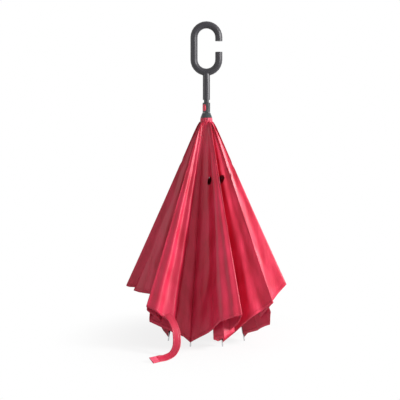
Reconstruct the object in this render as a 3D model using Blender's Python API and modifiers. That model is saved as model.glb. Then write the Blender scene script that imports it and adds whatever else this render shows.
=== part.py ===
"""An inverted umbrella, closed and standing on its rib tips, handle up.

The origin is the centre of the ferrule's flat face, at the shaft's lower end, and +Z runs up the shaft.
The runner slides down the shaft to open the canopy. Eight ribs turn on the runner, eight stretchers
turn on the hub at the shaft's end, and each gore is folded in two halves, which turn about their ribs.
"""

import bpy
import bmesh
from math import acos, atan2, cos, degrees, hypot, pi, radians, sin, sqrt, tan
from mathutils import Matrix, Vector

MM = 0.001

# Clearances
FIT = 0.3 * MM              # between pieces that touch or run in each other
OVERRUN = 2 * MM            # how far a cutter runs past what it cuts

# Canopy frame
COUNT = 8                   # ribs, stretchers and gores
TIP_DROP = 80 * MM          # the rib tips reach this far below the ferrule's face
PIVOT_HEIGHT = 476 * MM     # rib ring above the ferrule's face, closed
JOINT_SHARE = 0.42          # of that height, from rib pivot to stretcher joint along the rib
RIB_RING_RADIUS = 12 * MM
TIP_CIRCLE = 104 * MM       # radius of the circle that the rib tips stand on
OPEN_ANGLE = radians(116)   # rib from the shaft's lower end, canopy open
FIRST_RIB = radians(-112.5)  # azimuth of the rib in the open valley at the front
RIB_RADIUS = 1.0 * MM
RING_WIRE = 0.7 * MM
SOCKET_RADIUS = 1.6 * MM
SOCKET_LENGTH = 8 * MM
RIB_BARREL_RADIUS = 2.2 * MM
RIB_BARREL_WIDTH = 3.0 * MM
TIP_LENGTH = 14 * MM
TIP_RADIUS = 1.8 * MM
TIP_COVER = 9 * MM          # how much of the tip cap slips over the rib

# Stretchers and their hub
HUB_RING_RADIUS = 14 * MM
HUB_HEIGHT = 20 * MM        # hub ring above the ferrule's face
STRETCHER_WIRE = 0.7 * MM
STRETCHER_SPREAD = 2.6 * MM  # each of its two wires from its middle
STRETCHER_BARREL_RADIUS = 2.4 * MM
HUB_HALF_HEIGHT = 5.5 * MM
HUB_RIM = 2.5 * MM          # hub's outer radius past its ring

# Shaft
SHAFT_RADIUS = 4.5 * MM
SHAFT_WALL = 0.6 * MM
SHAFT_FOOT = 12 * MM        # tube's lower end above the ferrule's face
SLOT_WIDTH = 3.2 * MM       # slot that the runner's pin slides in
PIN_RADIUS = 1.2 * MM
FERRULE_RADIUS = 7 * MM
FERRULE_FACE = 5 * MM
FERRULE_STUB = 24 * MM

# Runner
SLEEVE_RADIUS = 7.4 * MM
SLEEVE_DROP = 20 * MM       # sleeve's lower end below the rib ring
FLANGE_RADIUS = 14.6 * MM
FLANGE_DROP = 6.5 * MM
FLANGE_RISE = 5 * MM
CUP_RADIUS = 9.2 * MM
CUP_BORE = 7.6 * MM
CUP_RISE = 16 * MM          # cup's upper edge above the rib ring
CAP_TOP_RADIUS = 10.2 * MM
CAP_LIP = 1.7 * MM
PIN_DROP = 13 * MM          # runner pin below the rib ring

# Button housing, button and latch
HOUSING_RADIUS = 9.6 * MM
HOUSING_WALL = 2 * MM
HOUSING_LENGTH = 25 * MM
HOUSING_EDGE = 1 * MM       # bevel at its top
NECK_RADIUS = 6.4 * MM
NECK_SHOW = 7 * MM          # bare neck between housing and grip
NECK_DEPTH = 14 * MM        # neck inside the grip
BUTTON_AZIMUTH = radians(-125)
BUTTON_WIDTH = 8.6 * MM
BUTTON_HEIGHT = 17 * MM
BUTTON_INNER = 7.7 * MM     # inner face from the shaft's axis
BUTTON_PROUD = 1.2 * MM
OVAL_STEPS = 8              # of each round end of the button and its window
BUTTON_TRAVEL = 1.5 * MM
LATCH_INNER = 6.4 * MM
LATCH_THICKNESS = 0.8 * MM
LATCH_WIDTH = 3 * MM
LATCH_LENGTH = 14 * MM
LEAF_THICKNESS = 0.4 * MM
LEAF_HALF = 5 * MM

# Grip
GRIP_RADIUS = 9 * MM
GRIP_BEND = 31 * MM         # centre line of its two half circles
GRIP_STRAIGHT = 55 * MM
GRIP_STEM = 60 * MM         # from the neck's bare stretch to the lower half circle
GRIP_LOWER_ARM = 19 * MM    # straight end below the finger gap
GRIP_GAP = 27 * MM
STEM_BORE = 20 * MM

# Opening spring, inside the shaft
SPRING_RADIUS = 2.9 * MM
SPRING_WIRE = 0.45 * MM
SPRING_TURNS = 16
SPRING_LENGTH = 60 * MM
PLUG_LENGTH = 8 * MM

# Fabric
CLOTH = 0.6 * MM
CROWN_DROP = 9 * MM         # folds start this far below the rib ring
CROWN_RADIUS = 18 * MM      # and this far from the shaft's axis
CROWN_WIDTH = 2 * MM        # width of a half gore's upper end
NOTCH_LEAD = 6 * MM         # the gore's edge makes room for the stretcher's end, above
NOTCH_RUN = 17 * MM         # and below their joint
HEM_BACK = 16 * MM          # from the rib's end to the gore's corner
HEM_HOLLOW = 14 * MM        # depth of the hem's inward curve on a half gore
HEM_STEPS = 8
FOLD_RADIUS = 205 * MM      # the folds' hem corners, from the shaft's axis
FOLD_HEIGHT = 120 * MM      # the same corners above the rib tips
FOLD_HEIGHT_SHARES = [0.82, 0.96, 1.15, 1.02, 0.98, 1.02, 1.12, 0.92]
FOLD_TURNS = [24, 52, 89, 136, 180, -135, -90, -45]  # degrees from the front, towards +X
VENT_REACH = 166 * MM       # from the rib pivot to the oval vent hole
VENT_LONG = 10 * MM         # half axes of the hole
VENT_SHORT = 8 * MM
CROWN_CLOTH = 0.8 * MM

# Closing strap
STRAP_WIDTH = 19 * MM
STRAP_THICKNESS = 1.2 * MM
PATCH_LENGTH = 24 * MM
PATCH_THICKNESS = 0.8 * MM
STRAP_STEPS = 40
# Its seam on the half gore: shares of the way from the hem at the rib to the fold's corner and to the fold's
# top, and of its clearance there
STRAP_SEAM_SHARES = [(0.71, 0.067, 1), (0.665, 0.037, 4)]
# Its way down and forward: shares of the folds' radius, twice, and of their height above the floor
STRAP_FALL_SHARES = [
    (-0.429, -0.688, 0.683), (-0.361, -0.79, 0.483), (-0.346, -0.898, 0.217), (-0.39, -0.99, 0.058),
    (-0.468, -1.073, 0), (-0.546, -1.141, 0), (-0.624, -1.21, 0),
]
SEAM_SHARE = 0.25           # of its length, facing as the gore does
FLOOR_SHARE = 0.6           # of its length, from where it lies flat on the floor

JOINT_REACH = JOINT_SHARE * PIVOT_HEIGHT
RIB_LENGTH = hypot(TIP_CIRCLE - RIB_RING_RADIUS, PIVOT_HEIGHT + TIP_DROP)
CLOSED_ANGLE = atan2(TIP_CIRCLE - RIB_RING_RADIUS, PIVOT_HEIGHT + TIP_DROP)
HOUSING_FOOT = PIVOT_HEIGHT + CUP_RISE + 2 * FIT + CAP_LIP
HOUSING_TOP = HOUSING_FOOT + HOUSING_LENGTH
GRIP_FOOT = HOUSING_TOP + NECK_SHOW
SHAFT_TOP = GRIP_FOOT + STEM_BORE - 2 * FIT
BUTTON_CENTRE = HOUSING_FOOT + HOUSING_LENGTH / 2
PIN_HEIGHT = PIVOT_HEIGHT - PIN_DROP

collection = None
cutters = None


def clear_scene():
    for obj in list(bpy.data.objects):
        bpy.data.objects.remove(obj, do_unlink=True)


def material(name, colour, roughness, metallic=0.0):
    made = bpy.data.materials.new(name)
    made.use_nodes = True
    shader = made.node_tree.nodes["Principled BSDF"]
    shader.inputs["Base Color"].default_value = (*colour, 1)
    shader.inputs["Roughness"].default_value = roughness
    shader.inputs["Metallic"].default_value = metallic
    return made


def add(name, mesh, finish=None):
    obj = bpy.data.objects.new(name, mesh)
    if finish is None:
        cutters.objects.link(obj)
        obj.hide_render = True
        obj.display_type = "WIRE"
        return obj
    collection.objects.link(obj)
    if not mesh.materials:
        mesh.materials.append(finish)
    return obj


def frame_matrix(origin, x_axis, y_axis):
    """Places a local frame by its origin and its X and Y directions."""
    x = x_axis.normalized()
    z = x.cross(y_axis).normalized()
    y = z.cross(x)
    turn = Matrix((x, y, z)).transposed().to_4x4()
    return Matrix.Translation(origin) @ turn


def baked(obj):
    """The object's evaluated mesh, welded, with the object's own place kept."""
    bpy.context.view_layer.update()
    graph = bpy.context.evaluated_depsgraph_get()
    mesh = bpy.data.meshes.new_from_object(obj.evaluated_get(graph))
    shape = bmesh.new()
    shape.from_mesh(mesh)
    bmesh.ops.remove_doubles(shape, verts=shape.verts, dist=0.001 * MM)
    bmesh.ops.recalc_face_normals(shape, faces=shape.faces)
    shape.to_mesh(mesh)
    shape.free()
    return mesh


def settled(obj):
    """Replaces an object by a mesh object of the same name, place and material."""
    mesh = baked(obj)
    name, place, finish = obj.name, obj.matrix_world.copy(), obj.active_material
    bpy.data.objects.remove(obj, do_unlink=True)
    made = add(name, mesh, finish)
    made.matrix_world = place
    return made


def combine(obj, other, operation):
    modifier = obj.modifiers.new(operation.title(), "BOOLEAN")
    modifier.operation = operation
    modifier.object = other
    return obj


def smooth(obj, angle=radians(40)):
    obj.data.shade_smooth()
    obj.data.set_sharp_from_angle(angle=angle)
    return obj


def turned(name, profile, finish, steps=32, closed=True):
    """A shape turned about Z. A closed profile runs down its outer side; an open one starts and ends on the axis."""
    mesh = bpy.data.meshes.new(name)
    shape = bmesh.new()
    points = [shape.verts.new((radius, 0, height)) for radius, height in profile]
    for first, second in zip(points, points[1:] + points[:1] * closed):
        shape.edges.new((first, second))
    shape.to_mesh(mesh)
    shape.free()
    obj = add(name, mesh, finish)
    screw = obj.modifiers.new("Turn", "SCREW")
    screw.steps = steps
    screw.render_steps = steps
    screw.use_merge_vertices = True
    screw.merge_threshold = 0.0001 * MM
    screw.use_smooth_shade = True
    return obj


def tube(name, points, radius, finish, resolution=2, cyclic=False):
    """A round wire or rod along a route."""
    curve = bpy.data.curves.new(name, "CURVE")
    curve.dimensions = "3D"
    curve.bevel_depth = radius
    curve.bevel_resolution = resolution
    curve.use_fill_caps = True
    line = curve.splines.new("POLY")
    line.points.add(len(points) - 1)
    for point, place in zip(line.points, points):
        point.co = (*place, 1)
    line.use_cyclic_u = cyclic
    curve.materials.append(finish)
    obj = bpy.data.objects.new(name, curve)
    (collection if finish else cutters).objects.link(obj)
    return obj


def box_cutter(name, size, place):
    mesh = bpy.data.meshes.new(name)
    shape = bmesh.new()
    bmesh.ops.create_cube(shape, size=1)
    bmesh.ops.scale(shape, vec=size, verts=shape.verts)
    shape.to_mesh(mesh)
    shape.free()
    obj = add(name, mesh)
    obj.matrix_world = place
    return obj


def cylinder_mesh(name, radius, depth, segments=16):
    """A cylinder centred on the origin, along Y."""
    mesh = bpy.data.meshes.new(name)
    shape = bmesh.new()
    bmesh.ops.create_cone(
        shape, cap_ends=True, segments=segments, radius1=radius, radius2=radius, depth=depth,
        matrix=Matrix.Rotation(pi / 2, 4, "X"),
    )
    shape.to_mesh(mesh)
    shape.free()
    return mesh


def outward(azimuth):
    return Vector((cos(azimuth), sin(azimuth), 0))


def rib_azimuth(index):
    return FIRST_RIB + index * 2 * pi / COUNT


def rib_direction(azimuth, angle):
    """Along a rib from its pivot, at an angle from straight down."""
    return outward(azimuth) * sin(angle) - Vector((0, 0, cos(angle)))


def rib_pivot(index):
    return outward(rib_azimuth(index)) * RIB_RING_RADIUS + Vector((0, 0, PIVOT_HEIGHT))


def sideways(azimuth):
    return Vector((-sin(azimuth), cos(azimuth), 0))


def slotted_hub(obj, ring_radius, ring_height, rim, slot_width, slot_floor, half_height, name):
    """Cuts a hub's radial slots and the groove that its ring wire lies in."""
    length = rim - slot_floor + OVERRUN
    for index in range(COUNT):
        azimuth = rib_azimuth(index)
        middle = outward(azimuth) * (slot_floor + length / 2) + Vector((0, 0, ring_height))
        place = frame_matrix(middle, outward(azimuth), sideways(azimuth))
        size = (length, slot_width, 2 * half_height + 2 * OVERRUN)
        combine(obj, box_cutter(f"{name}_slot_{index + 1}", size, place), "DIFFERENCE")
    room = RING_WIRE + FIT
    top = ring_height + half_height + OVERRUN
    groove = turned(
        f"{name}_groove",
        [(ring_radius + room, top), (ring_radius + room, ring_height - room),
         (ring_radius - room, ring_height - room), (ring_radius - room, top)],
        None,
    )
    combine(obj, groove, "DIFFERENCE")
    return obj


def ring_wire(name, radius, height, finish):
    mesh_points = [
        outward(turn * 2 * pi / 48) * radius + Vector((0, 0, height)) for turn in range(48)
    ]
    return smooth(settled(tube(name, mesh_points, RING_WIRE, finish, 1, cyclic=True)))


def build_grip(finish):
    """The C-shaped grip: a round bar bent to an open oval, on a straight stem bored for the neck."""
    middle = GRIP_FOOT + GRIP_STEM + GRIP_RADIUS + GRIP_BEND
    upper = middle + GRIP_STRAIGHT
    points = [Vector((GRIP_BEND, 0, middle + GRIP_LOWER_ARM))]
    steps = 14
    for step in range(steps + 1):
        turn = -pi * step / steps
        points.append(Vector((GRIP_BEND * cos(turn), 0, middle + GRIP_BEND * sin(turn))))
    for step in range(steps + 1):
        turn = pi - pi * step / steps
        points.append(Vector((GRIP_BEND * cos(turn), 0, upper + GRIP_BEND * sin(turn))))
    points.append(Vector((GRIP_BEND, 0, middle + GRIP_LOWER_ARM + GRIP_GAP)))
    grip = settled(tube("handle_grip", points, GRIP_RADIUS, finish, 5))
    stem_end = middle - GRIP_BEND
    stem = turned(
        "grip_stem",
        [(0, stem_end), (GRIP_RADIUS, stem_end), (GRIP_RADIUS, GRIP_FOOT), (0, GRIP_FOOT)],
        None, 16, closed=False,
    )
    combine(grip, stem, "UNION")
    top = GRIP_FOOT + STEM_BORE
    bore_radius = NECK_RADIUS + FIT
    bore = turned(
        "grip_bore",
        [(0, top), (bore_radius, top), (bore_radius, GRIP_FOOT - OVERRUN), (0, GRIP_FOOT - OVERRUN)],
        None, closed=False,
    )
    combine(grip, bore, "DIFFERENCE")
    return smooth(settled(grip))


def radial_place(azimuth, radius, height):
    """A frame whose X points outward, Y sideways and Z up."""
    return frame_matrix(outward(azimuth) * radius + Vector((0, 0, height)), outward(azimuth), sideways(azimuth))


def oval_prism(name, width, height, depth, finish):
    """A block with round ends, its length along Z and its depth along X."""
    curve = bpy.data.curves.new(name, "CURVE")
    curve.dimensions = "2D"
    curve.fill_mode = "BOTH"
    curve.extrude = depth / 2
    line = curve.splines.new("POLY")
    end = height / 2 - width / 2
    outline = []
    for side in (0, 1):
        for step in range(OVAL_STEPS + 1):
            turn = side * pi + pi * step / OVAL_STEPS
            outline.append((width / 2 * cos(turn), width / 2 * sin(turn) + end * (1 - 2 * side)))
    line.points.add(len(outline) - 1)
    for point, (across, along) in zip(line.points, outline):
        point.co = (across, along, 0, 1)
    line.use_cyclic_u = True
    if finish:
        curve.materials.append(finish)
    obj = bpy.data.objects.new(name, curve)
    (collection if finish else cutters).objects.link(obj)
    return settled(obj)


def oval_place(azimuth, radius, height):
    """Stands an oval prism upright with its depth along the radius."""
    middle = outward(azimuth) * radius + Vector((0, 0, height))
    return frame_matrix(middle, sideways(azimuth), Vector((0, 0, 1)))


def build_housing(finish):
    neck_bore = SHAFT_RADIUS + FIT
    ceiling = HOUSING_TOP - HOUSING_WALL
    inner = HOUSING_RADIUS - HOUSING_WALL
    housing = turned(
        "button_housing",
        [(NECK_RADIUS, GRIP_FOOT + NECK_DEPTH), (NECK_RADIUS, HOUSING_TOP),
         (HOUSING_RADIUS - HOUSING_EDGE, HOUSING_TOP), (HOUSING_RADIUS, HOUSING_TOP - HOUSING_EDGE),
         (HOUSING_RADIUS, HOUSING_FOOT), (inner, HOUSING_FOOT), (inner, ceiling),
         (neck_bore, ceiling), (neck_bore, GRIP_FOOT + NECK_DEPTH)],
        finish,
    )
    window = oval_prism("button_window", BUTTON_WIDTH + 2 * FIT, BUTTON_HEIGHT + 2 * FIT, HOUSING_RADIUS, None)
    window.matrix_world = oval_place(BUTTON_AZIMUTH, HOUSING_RADIUS, BUTTON_CENTRE)
    combine(housing, window, "DIFFERENCE")
    return smooth(settled(housing))


def build_button(finish):
    depth = HOUSING_RADIUS + BUTTON_PROUD - BUTTON_INNER
    button = oval_prism("push_button", BUTTON_WIDTH, BUTTON_HEIGHT, depth, finish)
    button.matrix_world = oval_place(BUTTON_AZIMUTH, BUTTON_INNER + depth / 2, BUTTON_CENTRE)
    bevel = button.modifiers.new("Bevel", "BEVEL")
    bevel.width = 0.8 * MM
    bevel.segments = 2
    bevel.limit_method = "ANGLE"
    return smooth(button)


def plate(name, size, place, finish):
    mesh = bpy.data.meshes.new(name)
    shape = bmesh.new()
    bmesh.ops.create_cube(shape, size=1)
    bmesh.ops.scale(shape, vec=size, verts=shape.verts)
    shape.to_mesh(mesh)
    shape.free()
    obj = add(name, mesh, finish)
    obj.matrix_world = place
    return obj


def build_latch(finish):
    """The latch tongue that hangs from the button into the runner's cup."""
    height = BUTTON_CENTRE - BUTTON_HEIGHT / 2 - FIT
    middle = LATCH_INNER + LATCH_THICKNESS / 2
    size = (LATCH_THICKNESS, LATCH_WIDTH, LATCH_LENGTH)
    return plate("latch_tongue", size, radial_place(BUTTON_AZIMUTH, middle, height), finish)


def build_leaf(finish):
    """The leaf spring that rests on the shaft and bears on the button's inner face, above the tongue."""
    low = SHAFT_RADIUS + FIT + LEAF_THICKNESS / 2
    high = BUTTON_INNER - FIT - LEAF_THICKNESS / 2
    height = BUTTON_CENTRE + BUTTON_HEIGHT / 2 - LEAF_HALF - 2 * FIT
    mesh = bpy.data.meshes.new("button_leaf_spring")
    shape = bmesh.new()
    bmesh.ops.create_grid(shape, x_segments=8, y_segments=1, size=1)
    for vert in shape.verts:
        share = vert.co.x
        across = vert.co.y * LATCH_WIDTH / 2
        reach = low + (high - low) * (1 - share * share)
        vert.co = Vector((reach, across, height + share * LEAF_HALF))
    shape.to_mesh(mesh)
    shape.free()
    leaf = add("button_leaf_spring", mesh, finish)
    leaf.matrix_world = Matrix.Rotation(BUTTON_AZIMUTH, 4, "Z")
    thick = leaf.modifiers.new("Solidify", "SOLIDIFY")
    thick.thickness = LEAF_THICKNESS
    thick.offset = 0
    return leaf


def build_shaft(finish):
    inner = SHAFT_RADIUS - SHAFT_WALL
    shaft = turned(
        "shaft_tube",
        [(SHAFT_RADIUS, SHAFT_TOP), (SHAFT_RADIUS, SHAFT_FOOT), (inner, SHAFT_FOOT), (inner, SHAFT_TOP)],
        finish, 24,
    )
    open_pivot = open_pivot_height()
    top = PIN_HEIGHT + PIN_RADIUS + SPRING_WIRE
    bottom = PIN_HEIGHT - (PIVOT_HEIGHT - open_pivot) - 2 * PIN_RADIUS
    place = radial_place(FIRST_RIB, 0, (top + bottom) / 2)
    size = (SLOT_WIDTH, 2 * SHAFT_RADIUS + 2 * OVERRUN, top - bottom)
    combine(shaft, box_cutter("shaft_slot", size, place), "DIFFERENCE")
    return smooth(settled(shaft))


def stretcher_length():
    """From the hub ring to the rib's joint, closed."""
    joint_radius = RIB_RING_RADIUS + JOINT_REACH * sin(CLOSED_ANGLE)
    joint_height = PIVOT_HEIGHT - JOINT_REACH * cos(CLOSED_ANGLE)
    return hypot(joint_radius - HUB_RING_RADIUS, joint_height - HUB_HEIGHT)


def stretcher_angle():
    """A stretcher's lean from straight up, closed."""
    joint_radius = RIB_RING_RADIUS + JOINT_REACH * sin(CLOSED_ANGLE)
    joint_height = PIVOT_HEIGHT - JOINT_REACH * cos(CLOSED_ANGLE)
    return atan2(joint_radius - HUB_RING_RADIUS, joint_height - HUB_HEIGHT)


def open_pivot_height():
    """Where the rib ring stands on the shaft when the canopy is open."""
    across = RIB_RING_RADIUS + JOINT_REACH * sin(OPEN_ANGLE) - HUB_RING_RADIUS
    up = sqrt(stretcher_length() ** 2 - across ** 2)
    return HUB_HEIGHT + up + JOINT_REACH * cos(OPEN_ANGLE)


def build_hub(finish):
    bore = SHAFT_RADIUS + FIT
    rim = HUB_RING_RADIUS + HUB_RIM
    top, foot = HUB_HEIGHT + HUB_HALF_HEIGHT, HUB_HEIGHT - HUB_HALF_HEIGHT
    hub = turned("stretcher_hub", [(rim, top), (rim, foot), (bore, foot), (bore, top)], finish, 48)
    slot_width = 2 * (STRETCHER_SPREAD + STRETCHER_WIRE + 2 * FIT)
    slot_floor = HUB_RING_RADIUS - STRETCHER_BARREL_RADIUS - 2 * FIT
    slotted_hub(hub, HUB_RING_RADIUS, HUB_HEIGHT, rim, slot_width, slot_floor, HUB_HALF_HEIGHT, "hub")
    return settled(hub)


def build_ferrule(finish):
    """The end cap: a flat-faced plug with a rounded shoulder, its stub inside the shaft."""
    stub = SHAFT_RADIUS - SHAFT_WALL - FIT
    shoulder = SHAFT_FOOT - FIT
    return turned(
        "ferrule",
        [(0, FERRULE_STUB), (stub, FERRULE_STUB), (stub, shoulder), (FERRULE_RADIUS, shoulder),
         (FERRULE_RADIUS, FERRULE_FACE / 2), (FERRULE_FACE, 0), (0, 0)],
        finish, 24, closed=False,
    )


def build_runner(finish):
    """The sleeve, the slotted flange that the ribs turn in, and the cup that meets the button housing."""
    bore = SHAFT_RADIUS + FIT
    flange_foot, flange_top = PIVOT_HEIGHT - FLANGE_DROP, PIVOT_HEIGHT + FLANGE_RISE
    cup_top = PIVOT_HEIGHT + CUP_RISE
    floor = flange_top + FIT
    runner = turned(
        "runner_sleeve",
        [(CUP_RADIUS, cup_top), (CUP_RADIUS, flange_top), (FLANGE_RADIUS, flange_top),
         (FLANGE_RADIUS, flange_foot), (SLEEVE_RADIUS, flange_foot),
         (SLEEVE_RADIUS, PIVOT_HEIGHT - SLEEVE_DROP), (bore, PIVOT_HEIGHT - SLEEVE_DROP),
         (bore, floor), (CUP_BORE, floor), (CUP_BORE, cup_top)],
        finish, 48,
    )
    half = (FLANGE_DROP + FLANGE_RISE) / 2
    slot_floor = RIB_RING_RADIUS - RIB_BARREL_RADIUS - 2 * FIT
    middle = PIVOT_HEIGHT + (FLANGE_RISE - FLANGE_DROP) / 2
    length = FLANGE_RADIUS - slot_floor + OVERRUN
    for index in range(COUNT):
        azimuth = rib_azimuth(index)
        place = radial_place(azimuth, slot_floor + length / 2, middle)
        size = (length, RIB_BARREL_WIDTH + 3 * FIT, 2 * half + FIT)
        combine(runner, box_cutter(f"runner_slot_{index + 1}", size, place), "DIFFERENCE")
    room = RING_WIRE + FIT
    groove = turned(
        "runner_groove",
        [(RIB_RING_RADIUS + room, flange_top + FIT), (RIB_RING_RADIUS + room, PIVOT_HEIGHT - room),
         (RIB_RING_RADIUS - room, PIVOT_HEIGHT - room), (RIB_RING_RADIUS - room, flange_top + FIT)],
        None,
    )
    combine(runner, groove, "DIFFERENCE")
    hole = add("runner_pin_hole", cylinder_mesh("runner_pin_hole", PIN_RADIUS + FIT, 4 * SLEEVE_RADIUS))
    hole.matrix_world = radial_place(FIRST_RIB, 0, PIN_HEIGHT)
    combine(runner, hole, "DIFFERENCE")
    return settled(runner)


def build_cap(finish):
    """The dark cone that covers the flange, between the canopy and the button housing."""
    foot = PIVOT_HEIGHT + FLANGE_RISE + FIT
    top = PIVOT_HEIGHT + CUP_RISE + CAP_LIP
    bore = CUP_RADIUS + FIT
    return turned(
        "crown_cap",
        [(CAP_TOP_RADIUS, top), (FLANGE_RADIUS, foot + CAP_LIP), (FLANGE_RADIUS, foot), (bore, foot), (bore, top)],
        finish, 40,
    )


def build_crown_cloth(finish):
    """The band of cloth tied round the flange, where all the gores start."""
    inner = FLANGE_RADIUS + FIT
    outer = inner + CROWN_CLOTH
    top = PIVOT_HEIGHT + FLANGE_RISE
    foot = PIVOT_HEIGHT - FLANGE_DROP
    return turned("canopy_crown", [(outer, top), (outer, foot), (inner, foot), (inner, top)], finish, 40)


def build_spring(finish):
    """The compressed opening spring between the runner's pin and the plug in the shaft."""
    foot = PIN_HEIGHT + PIN_RADIUS + FIT + SPRING_WIRE
    steps = SPRING_TURNS * 9
    pitch = (SPRING_LENGTH - 2 * SPRING_WIRE) / SPRING_TURNS
    print("gap between spring turns, mm:", round((pitch - 2 * SPRING_WIRE) / MM, 2))
    points = [
        outward(2 * pi * SPRING_TURNS * step / steps) * SPRING_RADIUS
        + Vector((0, 0, foot + pitch * SPRING_TURNS * step / steps))
        for step in range(steps + 1)
    ]
    return settled(tube("opening_spring", points, SPRING_WIRE, finish, 1))


def build_plug(finish):
    foot = PIN_HEIGHT + PIN_RADIUS + 2 * FIT + SPRING_LENGTH + 2 * SPRING_WIRE
    radius = SHAFT_RADIUS - SHAFT_WALL - FIT
    top = foot + PLUG_LENGTH
    return turned("spring_plug", [(0, top), (radius, top), (radius, foot), (0, foot)], finish, 20, closed=False)


def rod(name, length, radius, start=0.0, segments=10):
    """A straight rod along +X."""
    mesh = bpy.data.meshes.new(name)
    shape = bmesh.new()
    bmesh.ops.create_cone(
        shape, cap_ends=True, segments=segments, radius1=radius, radius2=radius, depth=length,
        matrix=Matrix.Translation((start + length / 2, 0, 0)) @ Matrix.Rotation(pi / 2, 4, "Y"),
    )
    shape.to_mesh(mesh)
    shape.free()
    return mesh


def rib_mesh(finish):
    """One rib: an eye barrel, a rod and the socket beside which the stretcher ends."""
    bare = RIB_LENGTH - TIP_LENGTH + TIP_COVER
    rib = add("rib_shape", rod("rib_shape", bare, RIB_RADIUS), finish)
    barrel = add("rib_barrel", cylinder_mesh("rib_barrel", RIB_BARREL_RADIUS, RIB_BARREL_WIDTH))
    combine(rib, barrel, "UNION")
    start = JOINT_REACH - SOCKET_LENGTH / 2
    combine(rib, add("rib_socket", rod("rib_socket", SOCKET_LENGTH, SOCKET_RADIUS, start)), "UNION")
    bore = cylinder_mesh("rib_bore", RING_WIRE + 2 * FIT, RIB_BARREL_WIDTH + OVERRUN)
    combine(rib, add("rib_bore", bore), "DIFFERENCE")
    mesh = baked(rib)
    bpy.data.objects.remove(rib, do_unlink=True)
    return mesh


def tip_mesh(finish):
    """The metal cap on a rib's end, cut level where it stands on the floor."""
    start = RIB_LENGTH - TIP_LENGTH
    length = TIP_LENGTH + TIP_RADIUS
    tip = add("tip_shape", rod("tip_shape", length, TIP_RADIUS, start, 12), finish)
    bore = rod("tip_bore", TIP_COVER + FIT + OVERRUN, RIB_RADIUS + FIT, start - OVERRUN, 12)
    combine(tip, add("tip_bore", bore), "DIFFERENCE")
    mesh = baked(tip)
    bpy.data.objects.remove(tip, do_unlink=True)
    shape = bmesh.new()
    shape.from_mesh(mesh)
    down = Vector((cos(CLOSED_ANGLE), 0, -sin(CLOSED_ANGLE)))
    bmesh.ops.bisect_plane(
        shape, geom=shape.verts[:] + shape.edges[:] + shape.faces[:],
        plane_co=(RIB_LENGTH, 0, 0), plane_no=down, clear_outer=True,
    )
    rim = [edge for edge in shape.edges if edge.is_boundary]
    bmesh.ops.contextual_create(shape, geom=rim)
    bmesh.ops.recalc_face_normals(shape, faces=shape.faces)
    shape.to_mesh(mesh)
    shape.free()
    return mesh


def stretcher_mesh(finish):
    """One stretcher: an eye barrel with two wires, which straddle the rib."""
    width = 2 * (STRETCHER_SPREAD + STRETCHER_WIRE + FIT)
    barrel = add("stretcher_shape", cylinder_mesh("stretcher_shape", STRETCHER_BARREL_RADIUS, width), finish)
    for side in (-1, 1):
        wire = add("stretcher_wire", rod("stretcher_wire", stretcher_length(), STRETCHER_WIRE, 0, 8))
        wire.matrix_world = Matrix.Translation((0, side * STRETCHER_SPREAD, 0))
        combine(barrel, wire, "UNION")
    sagitta = width ** 2 / 8 / HUB_RING_RADIUS
    bore = cylinder_mesh("stretcher_bore", RING_WIRE + FIT + sagitta, width + OVERRUN)
    combine(barrel, add("stretcher_bore", bore), "DIFFERENCE")
    mesh = baked(barrel)
    bpy.data.objects.remove(barrel, do_unlink=True)
    return mesh


def fold_ends(index):
    """The upper end and the hem corner of a gore's fold."""
    away = outward(radians(FOLD_TURNS[index] - 90))
    top = away * CROWN_RADIUS + Vector((0, 0, PIVOT_HEIGHT - CROWN_DROP))
    height = FOLD_HEIGHT * FOLD_HEIGHT_SHARES[index] - TIP_DROP
    return top, away * FOLD_RADIUS + Vector((0, 0, height))


def hem_end(index):
    """The point on a rib's centre line where the hem is tied."""
    direction = rib_direction(rib_azimuth(index), CLOSED_ANGLE)
    return rib_pivot(index) + direction * (RIB_LENGTH - HEM_BACK)


def fold_gap(index):
    """How far each half gore's edge stays from the fold line, so that the two clear each other."""
    top, corner = fold_ends(index)
    along = (corner - top).normalized()
    sides = []
    for rib in (index, (index + 1) % COUNT):
        side = hem_end(rib) - corner
        sides.append((side - along * side.dot(along)).normalized())
    half = acos(sides[0].dot(sides[1])) / 2
    return CLOTH / 2 / tan(half) + FIT / 2 / sin(half)


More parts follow.
